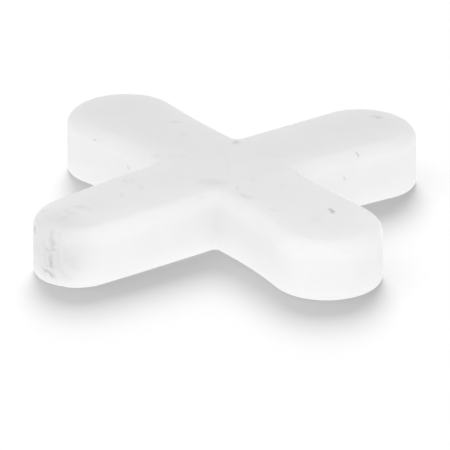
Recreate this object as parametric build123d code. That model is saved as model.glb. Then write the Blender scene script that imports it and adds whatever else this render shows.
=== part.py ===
"""Cross-shaped tile spacer, moulded in one piece from soft white plastic. Millimetres, +Z up.

The underside rests on Z = 0 and the middle of the cross is on the Z axis. The four arms lie
along +X, +Y, -X and -Y. Each arm leaves the hub with straight parallel sides, opens in a long
gentle curve and ends in a full round. The arm along -Y has a slimmer end than the other three.
"""
from build123d import *
import math
import os

# Joint the spacer is made for: the round ends are as wide as the gap between two tiles.
joint_width = 6.35

# Arms
reach = 12.5
waist_width = 5.75
scarred_end_width = 5.2
straight_side = 1.5

# Thickness and softened edges
thickness = 3.4
top_edge_radius = 0.7
bottom_edge_radius = 0.25
inner_corner_radius = 0.25


def flare_points(end_width):
    """Where the flare on one side of an arm begins, and where it meets the round end.

    The flare is one arc, tangent to the straight side and to the circle of the end. Its centre
    lies beside the arm where the end is wider than the waist. Where the end is slimmer, the
    centre lies across the arm, and the radius is negative.
    """
    half_waist = waist_width / 2
    end_radius = end_width / 2
    start = Vector(half_waist + straight_side, half_waist)
    end_centre = Vector(reach - end_radius, 0)
    run = end_centre.X - start.X
    flare_radius = (run**2 + half_waist**2 - end_radius**2) / (end_width - waist_width)
    flare_centre = start + Vector(0, flare_radius)
    towards_meet = (flare_centre - end_centre).normalized() * math.copysign(1, flare_radius)
    return start, end_centre + towards_meet * end_radius


def arm_outline(end_width):
    """Flat outline of the arm along +X, from the middle of the cross to its tip."""
    start, meet = flare_points(end_width)
    straight = Line((0, waist_width / 2), start)
    flare = TangentArc(start, meet, tangent=(1, 0))
    round_end = TangentArc(meet, (reach, 0), tangent=flare % 1)
    half = Curve() + [straight, flare, round_end]
    root = Line((0, -waist_width / 2), (0, waist_width / 2))
    return make_face(half.edges() + mirror(half, Plane.XZ).edges() + root.edges())


def cross_outline():
    """The four arms joined into one flat outline."""
    plain_arm = arm_outline(joint_width)
    outline = arm_outline(scarred_end_width).rotate(Axis.Z, -90)
    for angle in (0, 90, 180):
        outline += plain_arm.rotate(Axis.Z, angle)
    return outline


def spacer():
    """The outline raised to its thickness, with its inner corners and both rims softened."""
    body = extrude(cross_outline(), thickness)
    corner = waist_width / 2
    inner_corners = [
        edge for edge in body.edges().filter_by(Axis.Z)
        if abs(abs(edge.center().X) - corner) < 1e-6 and abs(abs(edge.center().Y) - corner) < 1e-6
    ]
    body = fillet(inner_corners, inner_corner_radius)
    body = fillet(body.faces().sort_by(Axis.Z)[-1].edges(), top_edge_radius)
    return fillet(body.faces().sort_by(Axis.Z)[0].edges(), bottom_edge_radius)


os.makedirs("parts", exist_ok=True)
export_step(spacer(), "parts/spacer.step")
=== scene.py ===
# %% [markdown]
# # A tile spacer in soft white plastic
#
# Tilers push small plastic crosses between the corners of four tiles, so that every joint
# comes out the same width. This one is moulded in one piece. It has four arms with round
# ends, flat faces, upright walls and soft rims.
#
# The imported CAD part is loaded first. It is the fixed frame that everything else is set in,
# in metres, with +Z up and the underside on Z = 0.

# %% Load the frame
import bmesh
import bpy
import math
import numpy as np
from mathutils import Matrix, Vector


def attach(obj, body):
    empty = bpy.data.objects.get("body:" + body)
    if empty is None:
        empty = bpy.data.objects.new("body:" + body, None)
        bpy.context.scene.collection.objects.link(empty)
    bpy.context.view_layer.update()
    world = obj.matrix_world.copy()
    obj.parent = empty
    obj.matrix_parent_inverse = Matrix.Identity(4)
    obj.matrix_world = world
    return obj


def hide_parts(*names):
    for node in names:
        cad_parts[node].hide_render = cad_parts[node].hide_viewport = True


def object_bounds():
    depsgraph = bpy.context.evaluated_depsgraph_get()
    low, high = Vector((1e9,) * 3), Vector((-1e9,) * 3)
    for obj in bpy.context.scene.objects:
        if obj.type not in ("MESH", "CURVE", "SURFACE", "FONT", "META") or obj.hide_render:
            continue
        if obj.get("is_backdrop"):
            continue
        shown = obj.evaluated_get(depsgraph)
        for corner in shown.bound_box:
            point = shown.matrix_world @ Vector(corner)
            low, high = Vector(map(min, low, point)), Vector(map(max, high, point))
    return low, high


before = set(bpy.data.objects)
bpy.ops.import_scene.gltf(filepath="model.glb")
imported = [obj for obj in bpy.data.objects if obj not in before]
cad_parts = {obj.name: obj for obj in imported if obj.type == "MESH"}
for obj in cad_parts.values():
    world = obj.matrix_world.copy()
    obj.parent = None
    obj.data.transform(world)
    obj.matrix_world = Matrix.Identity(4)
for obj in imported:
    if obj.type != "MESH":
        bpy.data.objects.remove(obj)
cad_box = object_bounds()
MM = 0.001

print("CAD box in mm:", [[round(value / MM, 2) for value in corner] for corner in cad_box])

# %% [markdown]
# ## The outline of an arm
#
# Seen from above, half of one arm is four stretches that run into each other without a kink:
# a small hollow curve in the corner of the cross, a straight side, a long gentle flare and the
# round end. The real outline was cut into a steel mould with a round cutter, which leaves
# exactly such arcs. A curve could be drawn along them by eye. Here they are worked out
# instead, because a few sizes then say where each arc touches the next.
#
# The sizes are those of the CAD part. The real spacer is soft and has been handled, so an arm
# may also be a little longer or shorter, its end a little wider or slimmer, and it may lean
# to one side.

# %% Sizes of the spacer
WAIST = 5.75
ROUND_END = 6.35
SCARRED_END = 5.2
CORNER_RADIUS = 0.25
STRAIGHT_SIDE = 1.5
REACH = 12.5
THICKNESS = 3.4
TOP_RIM = 0.7
BOTTOM_RIM = 0.25

ARMS = {
    "front_right": {"turn": 0, "end": ROUND_END + 0.05, "reach": REACH - 0.15, "lean": -0.07},
    "back_right": {"turn": 90, "end": ROUND_END - 0.35, "reach": REACH, "lean": 0.0},
    "back_left": {"turn": 180, "end": ROUND_END, "reach": REACH + 0.4, "lean": -0.09},
    "front_left": {
        "turn": 270, "end": SCARRED_END, "reach": REACH + 0.25, "lean": 0.13, "scar": True},
}
BOW = 0.27

CORNER_STEPS = 10
SIDE_STEPS = 8
FLARE_STEPS = 36
END_STEPS = 44


def arc(centre, radius, start, stop, steps):
    """Points centre + radius * (cos, sin) of angles that run evenly from start to stop.

    The unit vectors (cos, sin) come back too: they point away from the centre.
    """
    angle = np.linspace(start, stop, steps + 1)
    away = np.stack([np.cos(angle), np.sin(angle)], axis=1)
    return np.asarray(centre) + radius * away, away


def half_arm(arm):
    """One side of an arm along +X, from the corner of the cross to the tip.

    Gives the outline points, their outward normals and, for each point, the place on the
    arm's centre line where the flat faces are drawn together. The flare is the one circle
    that touches the straight side where it ends and the circle of the round end. With run
    as the distance between those two along the arm, its radius is
    (run^2 + half waist^2 - end radius^2) / (end width - waist). It is negative, and the
    flare bends inwards, where the end is slimmer than the waist.
    """
    half_waist = WAIST / 2
    end_radius = arm["end"] / 2
    flare_start = half_waist + STRAIGHT_SIDE
    end_centre = arm["reach"] - end_radius
    run = end_centre - flare_start
    flare_radius = (run**2 + half_waist**2 - end_radius**2) / (arm["end"] - WAIST)
    bends = math.copysign(1, flare_radius)
    flare_centre = np.array([flare_start, half_waist + flare_radius])
    towards = flare_centre - [end_centre, 0]
    towards = bends * towards / np.hypot(*towards)
    meet = towards * end_radius + [end_centre, 0]
    meet_angle = math.atan2(meet[1] - flare_centre[1], meet[0] - flare_centre[0])

    corner_centre = half_waist + CORNER_RADIUS
    on_the_diagonal, straight_down = 1.25 * math.pi, 1.5 * math.pi
    corner, corner_away = arc(
        (corner_centre, corner_centre), CORNER_RADIUS, on_the_diagonal, straight_down,
        CORNER_STEPS
    )
    side_x = np.linspace(corner_centre, flare_start, SIDE_STEPS + 1)[1:]
    side = np.stack([side_x, np.full_like(side_x, half_waist)], axis=1)
    side_away = np.tile([0.0, 1.0], (len(side), 1))
    flare, flare_away = arc(
        flare_centre, abs(flare_radius), -bends * math.pi / 2, meet_angle, FLARE_STEPS
    )
    end, end_away = arc(
        (end_centre, 0), end_radius, math.atan2(towards[1], towards[0]), 0, END_STEPS
    )
    points = np.vstack([corner, side, flare[1:], end[1:]])
    normals = np.vstack([-corner_away, side_away, -bends * flare_away[1:], end_away[1:]])

    first_x = corner[0, 0]
    share = np.clip((points[:, 0] - first_x) / (meet[0] - first_x), 0, 1)
    share[-END_STEPS:] = 1
    centre_line = np.stack([end_centre * share, np.zeros(len(points))], axis=1)
    return points, normals, centre_line


for name, arm in ARMS.items():
    print(name, "points on one side:", len(half_arm(arm)[0]))

# %% [markdown]
# ## The wall, the rims and the flat faces
#
# A cut through the edge of the spacer is a short profile: flat underside, quarter-round lower
# rim, upright wall, quarter-round upper rim, flat top. The profile says how far a row of
# points lies in from the outline, how high it is, and how far it is drawn in towards the
# centre line of its arm. Carried round the outline, it makes the whole closed skin.
#
# A raised outline with a Bevel modifier would look much the same, but its top would be one
# big face. These rows give the top points of its own, so that it can be bowed a little.

# %% Rows of the profile
FACE_ROWS = 22
RIM_ROWS = 10
WALL_ROWS = 24


def profile():
    """Rows from the middle of the underside, round the edge, to the middle of the top.

    Each row is (inset, height, drawn). On a rim of radius r an angle runs over a quarter
    turn, the inset is r * (1 - cos) and the height is r * (1 - sin) away from the flat face.
    On a flat face, drawn runs evenly between 0 at the rim and 1 at the centre line.
    """
    drawn = np.linspace(0, 1, FACE_ROWS + 1)[1:]
    quarter = np.linspace(0, math.pi / 2, RIM_ROWS + 1)
    wall = np.linspace(BOTTOM_RIM, THICKNESS - TOP_RIM, WALL_ROWS + 1)[1:-1]
    zeros = np.zeros_like
    in_from_wall = 1 - np.cos(quarter)
    off_the_face = 1 - np.sin(quarter)
    return np.vstack([
        np.stack([np.full_like(drawn, BOTTOM_RIM), zeros(drawn), drawn], axis=1)[::-1],
        np.stack([
            BOTTOM_RIM * in_from_wall, BOTTOM_RIM * off_the_face, zeros(quarter)
        ], axis=1)[::-1],
        np.stack([zeros(wall), wall, zeros(wall)], axis=1),
        np.stack([
            TOP_RIM * in_from_wall, THICKNESS - TOP_RIM * off_the_face, zeros(quarter)
        ], axis=1),
        np.stack([np.full_like(drawn, TOP_RIM), np.full_like(drawn, THICKNESS), drawn], axis=1),
    ])


rows = profile()
print("rows:", len(rows), "from height", rows[0, 1], "to", rows[-1, 1])

# %% [markdown]
# ## The scarred end
#
# Plastic enters the mould through a narrow gate, and the finished part is twisted off the
# stalk of plastic that sets in it. Here that left a shallow, ragged, upright scar beside the
# tip of the slimmer arm. A bump in the finish would only shade it, so it is real depth in the
# wall, which the mesh keeps. Its dirt comes later, in the finish.

# %% Depth of the scar
SCAR_DEPTH = 0.05
SCAR_MIDDLE = 0.9
SCAR_HALF_WIDTH = 0.75
RIPPLE_WAVES = ((5.3, 0.9, 0.4), (8.9, -1.7, 2.1), (3.1, 2.6, 4.0), (13.7, 1.2, 1.3))


def scar_depth(around, height):
    """How far the wall is set back, from the distance round the tip and the height, in mm.

    It is depth * bell * (1 + ripples). The bell is exp(-((around - middle) / half width)^2),
    and the ripples are the mean of sines of (a * around + b * height + c).
    """
    bell = np.exp(-((around - SCAR_MIDDLE) / SCAR_HALF_WIDTH)**2)
    ripples = np.mean([np.sin(a * around + b * height + c) for a, b, c in RIPPLE_WAVES], axis=0)
    return SCAR_DEPTH * bell * (1 + ripples)


up_the_wall = np.linspace(0, THICKNESS, WALL_ROWS + 1)
deepest = float(scar_depth(SCAR_MIDDLE, up_the_wall).max())
print("deepest on the scar's middle line, in mm:", round(deepest, 3))

# %% [markdown]
# ## Carrying the profile round the cross
#
# The two sides of each arm are mirror images, and each arm is the first one turned by a
# quarter, a half or three quarters. So one grid holds the whole spacer: the outline runs
# along it one way and the profile the other way.
#
# A soft part is never quite true. An arm that leans bends more and more towards its tip, and
# the whole cross is bowed a little, with its tips lower than its middle. Plastic shrinks
# unevenly as it cools, which leaves its flat faces with very slow, shallow waves.

# %% The columns of one arm


def arm_columns(arm):
    """Grid of one arm, in columns from the corner on its right round the tip to the other one.

    A point is its outline point moved inwards by the inset along the normal, and then
    moved by the share drawn towards the centre line. The lean moves it sideways by
    lean * (distance past the hub / length of the arm)^2.
    """
    points, normals, centre_line = half_arm(arm)
    order = np.r_[np.arange(len(points)), np.arange(len(points) - 2, 0, -1)]
    side = np.r_[np.full(len(points), -1.0), np.full(len(points) - 2, 1.0)]
    mirror = np.stack([np.ones_like(side), side], axis=1)
    inset, height, drawn = (
        np.broadcast_to(column[:, None], (len(rows), len(order))) for column in rows.T
    )
    if arm.get("scar"):
        tip_angle = np.arctan2(normals[order, 1], normals[order, 0])
        inset = inset + scar_depth(side * tip_angle * arm["end"] / 2, height)
    edge = points[order] * mirror - inset[..., None] * normals[order] * mirror
    flat = edge + drawn[..., None] * (centre_line[order] - edge)
    past_hub = np.clip((flat[..., 0] - WAIST / 2) / (arm["reach"] - WAIST / 2), 0, None)
    along, across = flat[..., 0], flat[..., 1] + arm["lean"] * past_hub**2
    turn = math.radians(arm["turn"])
    return np.stack([
        along * math.cos(turn) - across * math.sin(turn),
        along * math.sin(turn) + across * math.cos(turn),
        height,
    ], axis=-1)


print("rows and columns of one arm:", arm_columns(ARMS["front_right"]).shape[:2])

# %% The bow and the waves


def bowed(grid):
    """Heights lowered by bow * (distance from the middle / reach)^2."""
    fall = BOW * (grid[..., 0]**2 + grid[..., 1]**2) / REACH**2
    return grid - np.stack([np.zeros_like(fall), np.zeros_like(fall), fall], axis=-1)


WAVE_HEIGHT = 0.012
WAVE_SHIFTS = (0.0, 2.1, 4.2)
WAVE_DIRECTIONS = np.array([
    [0.9, 0.5, 0.8], [-0.6, 1.1, 0.5], [1.3, -0.8, -0.9], [0.4, 1.7, 1.2], [-1.9, -0.3, 0.7],
])


def uneven(grid):
    """Every point moved by slow sine waves of its own place.

    The move along each axis is wave height * mean of sin(place . direction + shift), with a
    shift of its own for x, y and z.
    """
    phase = grid @ WAVE_DIRECTIONS.T
    moves = [np.sin(phase + shift).mean(axis=-1) for shift in WAVE_SHIFTS]
    return grid + WAVE_HEIGHT * np.stack(moves, axis=-1)


# %% The whole grid, set on the floor
grid = np.concatenate([arm_columns(arm) for arm in ARMS.values()], axis=1)
grid = uneven(bowed(grid))
lift = -grid[..., 2].min()
grid[..., 2] += lift
print("grid of rows and columns:", grid.shape[:2])
print("lifted onto the floor by, in mm:", round(lift, 3))

# %% [markdown]
# ## From the grid to a closed skin
#
# Neighbouring points in the grid are joined into four-sided faces. The last column is joined
# to the first. Where the two sides of an arm meet on its centre line their points fall
# together, so they are merged, and the skin is closed. The arrays go into the mesh whole,
# which is much quicker than adding it point by point.

# %% Make the mesh
MERGE_DISTANCE = 0.0005 * MM


def skin(name, grid):
    """A mesh object from a grid of points in mm that is closed round its columns."""
    row_count, column_count = grid.shape[:2]
    index = np.arange(row_count * column_count).reshape(row_count, column_count)
    after = np.roll(index, -1, axis=1)
    faces = np.stack([index[:-1], after[:-1], after[1:], index[1:]], axis=-1).reshape(-1, 4)
    mesh = bpy.data.meshes.new(name)
    mesh.vertices.add(index.size)
    mesh.vertices.foreach_set("co", (grid * MM).astype(np.float32).ravel())
    mesh.loops.add(faces.size)
    mesh.loops.foreach_set("vertex_index", faces.astype(np.int32).ravel())
    mesh.polygons.add(len(faces))
    mesh.polygons.foreach_set("loop_start", np.arange(0, faces.size, 4, dtype=np.int32))
    mesh.update(calc_edges=True)
    work = bmesh.new()
    work.from_mesh(mesh)
    bmesh.ops.remove_doubles(work, verts=work.verts, dist=MERGE_DISTANCE)
    bmesh.ops.recalc_face_normals(work, faces=work.faces)
    work.to_mesh(mesh)
    work.free()
    mesh.shade_smooth()
    piece = bpy.data.objects.new(name, mesh)
    bpy.context.scene.collection.objects.link(piece)
    return piece


spacer = skin("spacer_skin", grid)
open_edges = sum(1 for count in np.bincount(
    np.array([loop.edge_index for loop in spacer.data.loops])) if count != 2)
print("faces:", len(spacer.data.polygons), "edges not shared by two faces:", open_edges)
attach(spacer, "root")
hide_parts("spacer")

# %% [markdown]
# ## The camera
#
# The photograph was taken from about 24 degrees above the table with a long lens, so the far
# arms look hardly smaller than the near ones. The angles are in radians. The middle of the
# spacer lies a pixel or so off the middle of the picture, and the camera is moved by that much.
#
# A constraint could aim the camera. Its three directions are worked out here instead, because
# they also turn a pixel of the photograph into a place on the spacer.

# %% Set up the camera
IMAGE_SIDE = 450
SENSOR = 36
CAMERA_AZIMUTH = 0.9325
CAMERA_ELEVATION = 0.4183
CAMERA_ROLL = -0.0045
CAMERA_DISTANCE = 750 * MM
PIXELS_PER_MM = 17.973
MIDDLE_RIGHT = 1.429
MIDDLE_UP = 0.12
NEAREST_SEEN = 10 * MM
FARTHEST_SEEN = 10_000 * MM


def camera_axes():
    """Right, up and back of the camera, which looks at the middle of the spacer."""
    flat = Vector((math.sin(CAMERA_AZIMUTH), -math.cos(CAMERA_AZIMUTH), 0))
    back = flat * math.cos(CAMERA_ELEVATION) + Vector((0, 0, math.sin(CAMERA_ELEVATION)))
    right = Vector((math.cos(CAMERA_AZIMUTH), math.sin(CAMERA_AZIMUTH), 0))
    up = back.cross(right)
    turned_right = right * math.cos(CAMERA_ROLL) + up * math.sin(CAMERA_ROLL)
    turned_up = up * math.cos(CAMERA_ROLL) - right * math.sin(CAMERA_ROLL)
    return turned_right, turned_up, back


right, up, back = camera_axes()
camera = bpy.data.objects.new("camera", bpy.data.cameras.new("camera"))
bpy.context.scene.collection.objects.link(camera)
bpy.context.scene.camera = camera
camera.data.sensor_width = SENSOR
camera.data.lens = PIXELS_PER_MM / MM * CAMERA_DISTANCE * SENSOR / IMAGE_SIDE
camera.data.clip_start = NEAREST_SEEN
camera.data.clip_end = FARTHEST_SEEN
place = back * CAMERA_DISTANCE - (right * MIDDLE_RIGHT + up * MIDDLE_UP) * MM / PIXELS_PER_MM
camera.matrix_world = Matrix.Translation(place) @ Matrix((right, up, back)).transposed().to_4x4()
print("lens in mm:", round(camera.data.lens, 1))

# %% [markdown]
# ## Finding a mark on the spacer
#
# Each mark is put where the photograph shows it. A straight line from the camera through that
# pixel meets the spacer's skin in one point, and the mark is set there, in the object's own
# space. So it stays on the surface from every side.

# %% Cast a line through a pixel


def skin_at(pixel):
    """Point of the skin and its normal behind a pixel of the photograph."""
    focal = CAMERA_DISTANCE * PIXELS_PER_MM / MM
    ray = right * (pixel[0] - IMAGE_SIDE / 2) + up * (IMAGE_SIDE / 2 - pixel[1]) - back * focal
    hit, point, normal, _ = spacer.ray_cast(place, ray.normalized())
    if not hit:
        raise ValueError(f"pixel {pixel} is beside the spacer")
    return point, normal


LEAST_DEPTH = 0.3 * MM
SHORTEST_STROKE = 0.01 * MM


def stroke(start, stop, half_width):
    """Centre, turn and half sizes of an ellipsoid that lies in the skin between two pixels.

    It reaches the half width past both ends. It is as deep as it is wide, or deeper, so that
    the skin runs through it also where the skin bends.
    """
    first, normal = skin_at(start)
    last, _ = skin_at(stop)
    along = last - first
    if along.length < SHORTEST_STROKE:
        along = normal.orthogonal()
        half_length = half_width * MM
    else:
        half_length = along.length / 2 + half_width * MM
    across = normal.cross(along).normalized()
    axes = Matrix((across.cross(normal), across, normal)).transposed()
    half_depth = max(LEAST_DEPTH, half_width * MM)
    return (first + last) / 2, axes.to_euler(), (half_length, half_width * MM, half_depth)


DASH_PIXEL = (330, 210)
dash_place, _ = skin_at(DASH_PIXEL)
print("the dash lies at, in mm:", [round(value / MM, 2) for value in dash_place])

# %% [markdown]
# ## Building blocks for the finish
#
# Two small node groups do the work. One gives the skin that the mould leaves: a fine grain and
# a slow change of tone. The other gives one mark: a soft-edged ellipse at a place of its own.
# Both put out plain values only, and the shader itself stays in the material.

# %% Helpers for nodes


def add(tree, kind, inputs=None, **settings):
    """A new node. An input is linked if it is given a socket, and set if it is given a value."""
    made = tree.nodes.new(kind)
    for name, value in settings.items():
        setattr(made, name, value)
    for name, value in (inputs or {}).items():
        if isinstance(value, bpy.types.NodeSocket):
            tree.links.new(value, made.inputs[name])
        else:
            made.inputs[name].default_value = value
    return made


def new_group(name, inputs, outputs):
    """An empty node group with named sockets, with its input and output nodes."""
    tree = bpy.data.node_groups.new(name, "ShaderNodeTree")
    for label, kind in inputs.items():
        tree.interface.new_socket(name=label, in_out="INPUT", socket_type=kind)
    for label, kind in outputs.items():
        tree.interface.new_socket(name=label, in_out="OUTPUT", socket_type=kind)
    return tree, tree.nodes.new("NodeGroupInput"), tree.nodes.new("NodeGroupOutput")


# %% The skin that the mould leaves
GRAIN_SIZE = 0.16 * MM
GRAIN_DETAIL = 2.0
TONE_SIZE = 1.6 * MM
TONE_DETAIL = 3.0


def moulded_skin_group():
    """Grain is a fine noise, and Tone a slow one, both between 0 and 1."""
    tree, entry, result = new_group(
        "moulded_skin", {"Vector": "NodeSocketVector"},
        {"Grain": "NodeSocketFloat", "Tone": "NodeSocketFloat"})
    for label, size, detail in (("Grain", GRAIN_SIZE, GRAIN_DETAIL), ("Tone", TONE_SIZE, TONE_DETAIL)):
        noise = add(tree, "ShaderNodeTexNoise",
                    {"Vector": entry.outputs["Vector"], "Scale": 1 / size, "Detail": detail})
        tree.links.new(noise.outputs["Fac"], result.inputs[label])
    return tree


moulded_skin = moulded_skin_group()
print("nodes in the moulded skin:", len(moulded_skin.nodes))

# %% One mark


def mark_group():
    """1 inside an ellipse, 0 outside, with a soft edge.

    The place is brought to the ellipse's own axes and divided by its half sizes. There the
    distance from the centre is 1 on the edge of the ellipse.
    """
    tree, entry, result = new_group(
        "mark",
        {"Vector": "NodeSocketVector", "Centre": "NodeSocketVector", "Turn": "NodeSocketVector",
         "Half Size": "NodeSocketVector", "Softness": "NodeSocketFloat"},
        {"Mask": "NodeSocketFloat"})
    own = add(tree, "ShaderNodeMapping", {
        "Vector": entry.outputs["Vector"], "Location": entry.outputs["Centre"],
        "Rotation": entry.outputs["Turn"], "Scale": entry.outputs["Half Size"],
    }, vector_type="TEXTURE")
    far = add(tree, "ShaderNodeVectorMath", {0: own.outputs["Vector"]}, operation="LENGTH")
    softness = entry.outputs["Softness"]
    inner = add(tree, "ShaderNodeMath", {0: 1.0, 1: softness}, operation="SUBTRACT")
    outer = add(tree, "ShaderNodeMath", {0: 1.0, 1: softness}, operation="ADD")
    fade = add(tree, "ShaderNodeMapRange", {
        "Value": far.outputs["Value"], "From Min": inner.outputs[0], "From Max": outer.outputs[0],
        "To Min": 1.0, "To Max": 0.0,
    }, interpolation_type="SMOOTHSTEP")
    tree.links.new(fade.outputs["Result"], result.inputs["Mask"])
    return tree


mark = mark_group()
print("nodes in one mark:", len(mark.nodes))

# %% [markdown]
# ## The finish: soft white plastic that has been handled
#
# New polyethylene is an even white with a low satin gloss, and a little light goes into it
# and comes out again nearby, so its shadows are never hard. This spacer has also been in a
# bag or on a floor. It has a dark dash and a few specks pressed into it, faint scratches and
# some scuffed patches. Its slimmer end is grey with grime, and darkest in the scar.
#
# Each mark names the two pixels it runs between, its half width in mm, how dark it is and how
# soft its edge is. A scuffed patch is wider and fainter, and all patches are equally soft.

# %% Marks on the four arms and the hub
DARK_MARKS = {
    "dash": ((329.4, 209.4), (332.6, 212.2), 0.11, 0.36, 0.6),
    "speck_on_right_wall": ((357.2, 153), (357.4, 155.2), 0.07, 0.28, 0.7),
    "speck_low_on_right_wall": ((344.6, 178.3), (344.6, 178.3), 0.085, 0.16, 0.8),
    "speck_on_far_right_tip": ((374.6, 116.6), (379, 117.4), 0.17, 0.18, 0.9),
    "speck_on_far_left_end": ((95, 140), (95.6, 140.8), 0.09, 0.21, 0.8),
    "speck_on_far_left_arm": ((183, 133.6), (183, 136.4), 0.09, 0.07, 0.8),
    "dash_on_far_left_arm": ((170, 121.8), (179, 121.8), 0.12, 0.105, 0.8),
    "speck_at_back_corner": ((235.6, 142.4), (237.2, 142.4), 0.17, 0.19, 0.8),
    "streak_on_far_left_neck": ((155, 155), (159.4, 158), 0.13, 0.085, 0.9),
    "second_streak_on_far_left_neck": ((169.6, 156.6), (173, 156), 0.16, 0.05, 0.9),
    "third_streak_on_far_left_neck": ((181, 156), (184, 156), 0.16, 0.05, 0.9),
    "dot_on_hub": ((253.2, 178.6), (253.2, 181), 0.12, 0.06, 0.8),
    "small_dot_on_hub": ((237, 187), (237, 189), 0.1, 0.09, 0.8),
    "smudge_on_hub": ((209.6, 182), (219, 182.6), 0.4, 0.08, 0.8),
    "smudge_tail_on_hub": ((203, 179.4), (207, 179.4), 0.22, 0.02, 0.9),
    "dot_left_of_smudge": ((200.4, 180), (200.4, 182.4), 0.09, 0.035, 0.9),
    "dot_at_back_of_hub": ((226, 156.8), (226, 159.2), 0.09, 0.045, 0.9),
    "upright_streak_on_hub": ((228, 160), (228, 171), 0.1, 0.03, 0.9),
    "nick_at_front_corner": ((200, 196.8), (203.4, 197), 0.14, 0.06, 0.8),
    "curved_scratch_start": ((240, 193.4), (244, 195.8), 0.15, 0.07, 0.8),
    "curved_scratch_middle": ((244, 195.8), (249, 197.6), 0.15, 0.06, 0.8),
    "curved_scratch_end": ((249, 197.8), (256, 197.8), 0.12, 0.035, 0.8),
    "spot_beside_hub": ((272, 209.4), (275, 210.8), 0.16, 0.06, 0.8),
    "spot_on_far_right_neck": ((273.6, 156), (276, 156), 0.3, 0.024, 0.9),
    "second_spot_on_far_right_neck": ((281, 157), (285, 157), 0.16, 0.03, 0.9),
    "spot_right_of_hub": ((281, 185), (281, 189), 0.09, 0.04, 0.9),
    "scratch_on_front_right": ((312.6, 220), (319, 220.6), 0.15, 0.035, 0.8),
    "scratch_on_front_left": ((75, 206.6), (82, 206.2), 0.15, 0.08, 0.8),
    "scratch_end_on_front_left": ((84, 207.6), (92, 208.6), 0.12, 0.04, 0.8),
    "chip_on_front_left": ((64.6, 210), (67.4, 211.2), 0.2, 0.035, 0.8),
    "second_chip_on_front_left": ((69, 212.8), (72, 214), 0.18, 0.03, 0.9),
    "chip_near_front_left_end": ((61.6, 218.4), (66, 217), 0.16, 0.04, 0.9),
    "speck_near_left_edge": ((42, 211), (43, 211), 0.14, 0.105, 0.9),
    "blot_in_left_corner": ((125, 178.6), (125, 181.6), 0.12, 0.07, 0.9),
    "second_blot_in_left_corner": ((132, 179), (132.6, 182), 0.12, 0.04, 0.9),
    "third_blot_in_left_corner": ((141, 186), (141.6, 188.6), 0.12, 0.06, 0.9),
    "blot_beside_left_corner": ((122, 194), (122.6, 196), 0.12, 0.09, 0.9),
    "blot_on_far_left_wall": ((128, 167), (128.6, 168.4), 0.1, 0.16, 0.9),
}
print("marks on the arms and the hub:", len(DARK_MARKS))

# %% Marks on the scarred end
DARK_MARKS.update({
    "grime_on_end": ((44, 244), (54, 246), 2.1, 0.115, 0.5),
    "streak_in_scar": ((51.4, 236), (53.2, 247), 0.13, 0.1, 0.9),
    "line_across_scar": ((46, 249), (56, 249.4), 0.06, 0.13, 0.8),
    "dirt_above_scar": ((49, 252.6), (52, 257), 0.12, 0.06, 0.9),
    "dirt_in_scar": ((50.8, 259.6), (51.4, 266), 0.11, 0.2, 0.8),
    "dirt_under_scar": ((44.4, 269), (52.6, 275), 0.1, 0.22, 0.8),
    "dirt_at_foot_of_scar": ((53, 276.6), (54.6, 277.4), 0.09, 0.08, 0.8),
    "dirt_beside_scar": ((45.4, 257), (46.6, 264), 0.09, 0.045, 0.9),
    "faint_streak_left_of_scar": ((41.6, 242), (42.6, 248), 0.11, 0.008, 0.9),
    "faint_streak_right_of_scar": ((63.6, 247), (64.6, 257), 0.12, 0.02, 0.9),
    "long_streak_right_of_scar": ((58, 257), (61.6, 274), 0.14, 0.018, 0.9),
    "soft_spot_near_wall": ((71, 260), (76, 267), 0.3, 0.035, 0.8),
    "soft_spot_low_near_wall": ((66, 275.4), (69.4, 279), 0.14, 0.04, 0.9),
    "dark_spot_on_left_edge": ((35, 228), (35, 231), 0.1, 0.28, 0.9),
})
print("with those on the scarred end:", len(DARK_MARKS))

# %% The scuffed patches
SCUFFED_PATCHES = {
    "scarred_end": ((49, 240), (50, 274), 0.7, 0.06),
    "beside_scarred_end": ((64, 242), (64, 272), 0.6, 0.02),
    "front_left_top": ((60, 214), (92, 208), 0.7, 0.06),
    "left_corner": ((112, 184), (140, 172), 0.7, 0.05),
    "hub_left": ((190, 183), (226, 178), 0.8, 0.035),
    "hub_right": ((236, 190), (282, 206), 0.9, 0.03),
    "far_left_neck": ((150, 132), (190, 150), 0.8, 0.04),
    "far_right_neck": ((262, 152), (300, 150), 0.8, 0.035),
}
print("scuffed patches:", len(SCUFFED_PATCHES))

# %% [markdown]
# ## Ragged edges and speckles
#
# A mark made from a plain ellipse looks drawn. So a fine noise moves each place a little before
# the marks read it, and their edges come out ragged. A second noise breaks the scuffed patches
# into speckles. A painted picture could do the same, but noise needs no picture file and stays
# sharp from close up.

# %% Noise for the worn places
SPECKLE_SIZE = 0.28 * MM
SPECKLE_STARTS = 0.38
SPECKLE_FULL = 0.75
SPECKLE_DETAIL = 2.0
SPECKLE_ROUGHNESS = 0.6
STRAY_SIZE = 0.35 * MM
STRAY_REACH = 0.4 * MM
STRAY_DETAIL = 2.0


def speckles(tree, vector):
    """Blotches between 0 and 1, from a noise that is cut off below and above."""
    noise = add(tree, "ShaderNodeTexNoise", {
        "Vector": vector, "Scale": 1 / SPECKLE_SIZE,
        "Detail": SPECKLE_DETAIL, "Roughness": SPECKLE_ROUGHNESS})
    return add(tree, "ShaderNodeMapRange", {
        "Value": noise.outputs["Fac"], "From Min": SPECKLE_STARTS, "From Max": SPECKLE_FULL,
    }).outputs["Result"]


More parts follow.
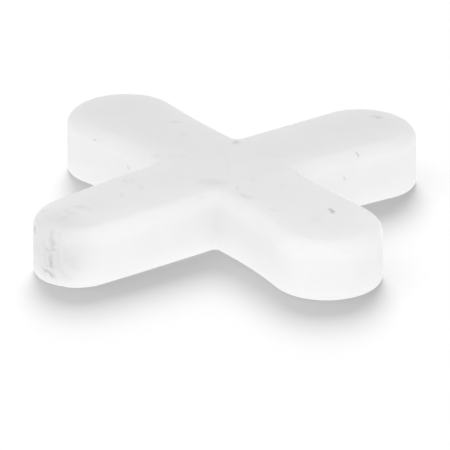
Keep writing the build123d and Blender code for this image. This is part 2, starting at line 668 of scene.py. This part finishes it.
def strayed(tree, vector):
    """The place moved by (noise - 0.5) * reach along each axis."""
    noise = add(tree, "ShaderNodeTexNoise", {
        "Vector": vector, "Scale": 1 / STRAY_SIZE, "Detail": STRAY_DETAIL})
    about_zero = add(tree, "ShaderNodeVectorMath", {
        0: noise.outputs["Color"], 1: (0.5, 0.5, 0.5)}, operation="SUBTRACT")
    return add(tree, "ShaderNodeVectorMath", {
        0: about_zero.outputs[0], 1: (STRAY_REACH, STRAY_REACH, STRAY_REACH), 2: vector,
    }, operation="MULTIPLY_ADD").outputs[0]


# %% Masks and their sum


def mask_of(tree, vector, start, stop, half_width, softness):
    """The mask of one mark that lies between two pixels."""
    centre, turn, half_size = stroke(start, stop, half_width)
    made = add(tree, "ShaderNodeGroup", node_tree=mark)
    tree.links.new(vector, made.inputs["Vector"])
    made.inputs["Centre"].default_value = centre
    made.inputs["Turn"].default_value = turn
    made.inputs["Half Size"].default_value = half_size
    made.inputs["Softness"].default_value = softness
    return made.outputs["Mask"]


def total(tree, pairs):
    """Sum of each mask times its strength."""
    so_far = 0.0
    for mask, strength in pairs:
        so_far = add(tree, "ShaderNodeMath", {0: mask, 1: strength, 2: so_far},
                     operation="MULTIPLY_ADD").outputs[0]
    return so_far


# %% [markdown]
# ## The plastic itself
#
# The masks only say how worn each place is. The material turns that into colour, from white
# towards grime, and makes worn places a little rougher. The grain becomes a faint bump. Light
# that goes into the plastic comes out up to about a millimetre away, which softens the step
# from the top to the walls.

# %% How worn each place is
PATCH_SOFTNESS = 0.7


def worn_places(tree, place_in_object):
    """Sum of the scuffed patches * speckles + sum of the dark marks, kept between 0 and 1."""
    speckle = speckles(tree, place_in_object)
    strayed_place = strayed(tree, place_in_object)
    marked = total(tree, (
        (mask_of(tree, strayed_place, start, stop, half_width, softness), dark)
        for start, stop, half_width, dark, softness in DARK_MARKS.values()))
    scuffed = total(tree, (
        (mask_of(tree, strayed_place, start, stop, half_width, PATCH_SOFTNESS), dark)
        for start, stop, half_width, dark in SCUFFED_PATCHES.values()))
    return add(tree, "ShaderNodeMath", {0: scuffed, 1: speckle, 2: marked},
               operation="MULTIPLY_ADD", use_clamp=True).outputs[0]


# %% The material
PLASTIC_WHITE = 0.92
GRIME_GREY = 0.09
TONE_DARKEST = 0.035
TONE_LIGHTEST = -0.015
CLEAN_ROUGHNESS = 0.52
WORN_ROUGHNESS_MORE = 0.4
GRAIN_STRENGTH = 0.25
GRAIN_HEIGHT = 0.01 * MM
LIGHT_REACH = 1.1 * MM


def soft_plastic():
    """White plastic, darkened towards grime and roughened where it is worn."""
    material = bpy.data.materials.new("soft_white_plastic")
    material.use_nodes = True
    tree = material.node_tree
    shader = tree.nodes["Principled BSDF"]
    place_in_object = tree.nodes.new("ShaderNodeTexCoord").outputs["Object"]
    skin_values = add(tree, "ShaderNodeGroup", node_tree=moulded_skin)
    tree.links.new(place_in_object, skin_values.inputs["Vector"])
    worn = worn_places(tree, place_in_object)

    tone = add(tree, "ShaderNodeMapRange", {
        "Value": skin_values.outputs["Tone"], "To Min": TONE_DARKEST, "To Max": TONE_LIGHTEST,
    }).outputs["Result"]
    grey = add(tree, "ShaderNodeMath", {0: worn, 1: tone}, operation="ADD", use_clamp=True)
    white = (PLASTIC_WHITE, PLASTIC_WHITE, PLASTIC_WHITE, 1)
    grime = (GRIME_GREY, GRIME_GREY, GRIME_GREY, 1)
    colour = add(tree, "ShaderNodeMixRGB", {
        "Fac": grey.outputs[0], "Color1": white, "Color2": grime})
    tree.links.new(colour.outputs["Color"], shader.inputs["Base Color"])

    rough = add(tree, "ShaderNodeMath", {
        0: worn, 1: WORN_ROUGHNESS_MORE, 2: CLEAN_ROUGHNESS}, operation="MULTIPLY_ADD")
    tree.links.new(rough.outputs[0], shader.inputs["Roughness"])
    bump = add(tree, "ShaderNodeBump", {
        "Height": skin_values.outputs["Grain"],
        "Strength": GRAIN_STRENGTH, "Distance": GRAIN_HEIGHT})
    tree.links.new(bump.outputs["Normal"], shader.inputs["Normal"])
    shader.inputs["Subsurface Weight"].default_value = 1.0
    shader.inputs["Subsurface Radius"].default_value = (1, 1, 1)
    shader.inputs["Subsurface Scale"].default_value = LIGHT_REACH
    return material


plastic = soft_plastic()
spacer.data.materials.append(plastic)
print("nodes in the plastic:", len(plastic.node_tree.nodes))

# %% [markdown]
# ## The floor
#
# The spacer lies on a white table in a light box, and the table glows softly. Its light is
# what makes the walls a little brighter than the top. Two things are asked of the floor, so
# its material is mixed from two by the kind of ray. What the spacer gets from it is an even
# glow. What the camera, mirrors and glass see is a matt light grey with some white added, which
# is pure white away from the spacer and keeps its shadow. Stronger lamps would also make the
# floor white, but they would wash out the spacer.

# %% The floor
TABLE_GLOW = 0.95
FLOOR_GREY = 0.5
FLOOR_WHITE = 0.1
FLOOR_HALF = 0.6


def floor_material():
    """An even glow for the spacer, and for the eye a matt grey with some white added."""
    material = bpy.data.materials.new("white_floor")
    material.use_nodes = True
    tree = material.node_tree
    tree.nodes.remove(tree.nodes["Principled BSDF"])
    rays = tree.nodes.new("ShaderNodeLightPath").outputs
    seen = add(tree, "ShaderNodeMath", {
        0: rays["Is Camera Ray"], 1: rays["Is Glossy Ray"]}, operation="MAXIMUM")
    seen = add(tree, "ShaderNodeMath", {
        0: seen.outputs[0], 1: rays["Is Transmission Ray"]}, operation="MAXIMUM")
    matt = add(tree, "ShaderNodeBsdfDiffuse", {"Color": (FLOOR_GREY, FLOOR_GREY, FLOOR_GREY, 1)})
    white = add(tree, "ShaderNodeEmission", {"Strength": FLOOR_WHITE})
    to_the_eye = add(tree, "ShaderNodeAddShader", {0: matt.outputs[0], 1: white.outputs[0]})
    glow = add(tree, "ShaderNodeEmission", {"Strength": TABLE_GLOW})
    both = add(tree, "ShaderNodeMixShader", {
        0: seen.outputs[0], 1: glow.outputs[0], 2: to_the_eye.outputs[0]})
    tree.links.new(both.outputs[0], tree.nodes["Material Output"].inputs["Surface"])
    return material


floor_mesh = bpy.data.meshes.new("floor")
corners = [(-1, -1), (1, -1), (1, 1), (-1, 1)]
points = [(x * FLOOR_HALF, y * FLOOR_HALF, 0) for x, y in corners]
floor_mesh.from_pydata(points, [], [(0, 1, 2, 3)])
floor = bpy.data.objects.new("floor", floor_mesh)
floor_mesh.materials.append(floor_material())
bpy.context.scene.collection.objects.link(floor)
floor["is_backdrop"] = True
print("floor half width in m:", FLOOR_HALF)

# %% [markdown]
# ## The light
#
# An even sky and the glowing table give nearly all the light. One small lamp, near the front
# arms and above them, makes the top fade a little towards the back. It is linked to the spacer
# alone. Windows behind and on the left are linked to the floor alone, and in their light the
# spacer's soft shadow falls towards the viewer. Lamps that light everything would do too, but
# linked ones let the shadow be set without changing the spacer.

# %% Place a lamp and link it
def towards(around, height):
    """Direction from the spacer, by the degrees round from the camera and the degrees up."""
    azimuth = CAMERA_AZIMUTH + math.radians(around)
    up_angle = math.radians(height)
    level = math.cos(up_angle)
    return Vector((math.sin(azimuth) * level, -math.cos(azimuth) * level, math.sin(up_angle)))


def group_of(name, piece):
    """A collection that only names a piece for the lamps and isn't in the scene."""
    made = bpy.data.collections.new(name)
    made.objects.link(piece)
    return made


def place_lamp(data, direction, distance, lights):
    """A lamp that shines back along a direction and lights only the pieces of one collection."""
    made = bpy.data.objects.new(data.name, data)
    made.location = direction * distance
    made.rotation_euler = direction.to_track_quat("Z", "Y").to_euler()
    made.light_linking.receiver_collection = lights
    bpy.context.scene.collection.objects.link(made)
    return made


# %% The near lamp lights the spacer
NEAR_LAMP_HEIGHT = 50
NEAR_LAMP_DISTANCE = 60 * MM
NEAR_LAMP_SIZE = 60 * MM
NEAR_LAMP_POWER = 0.0082

near = bpy.data.lights.new("near_lamp", "AREA")
near.shape = "DISK"
near.size = NEAR_LAMP_SIZE
near.energy = NEAR_LAMP_POWER
near_lamp = place_lamp(near, towards(0, NEAR_LAMP_HEIGHT), NEAR_LAMP_DISTANCE,
                       group_of("spacer_alone", spacer))
near_lamp.visible_camera = False
print("near lamp at, in mm:", [round(value / MM, 1) for value in near_lamp.location])

# %% The windows light the floor
WINDOW_DISTANCE = 0.4

# Each window: degrees round from the camera, degrees up, degrees wide, and strength.
WINDOWS = {
    "window_low": (180, 28, 25, 1.38),
    "window_high": (180, 45, 35, 3.07),
    "window_left": (270, 60, 60, 0.8),
}
floor_alone = group_of("floor_alone", floor)

for name, (around, height, width, strength) in WINDOWS.items():
    window = bpy.data.lights.new(name, "SUN")
    window.angle = math.radians(width)
    window.energy = strength
    place_lamp(window, towards(around, height), WINDOW_DISTANCE, floor_alone)
print("windows:", len(WINDOWS))

# %% The even sky
SKY_STRENGTH = 0.708

world = bpy.data.worlds.new("soft_sky")
world.use_nodes = True
world.node_tree.nodes["Background"].inputs["Color"].default_value = (1, 1, 1, 1)
world.node_tree.nodes["Background"].inputs["Strength"].default_value = SKY_STRENGTH
bpy.context.scene.world = world
bpy.context.scene.view_settings.view_transform = "Standard"
print("sky:", SKY_STRENGTH)

# %% [markdown]
# ## Sizes, and the end
#
# The box of the CAD part and the box of what is shown are printed, so that the two can be
# compared.

# %% Print the sizes and finish
sizes = {"cad": cad_box, "shown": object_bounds()}
sizes = {name: [[float(value) for value in corner] for corner in box] for name, box in sizes.items()}
print("boxes in metres:", sizes)
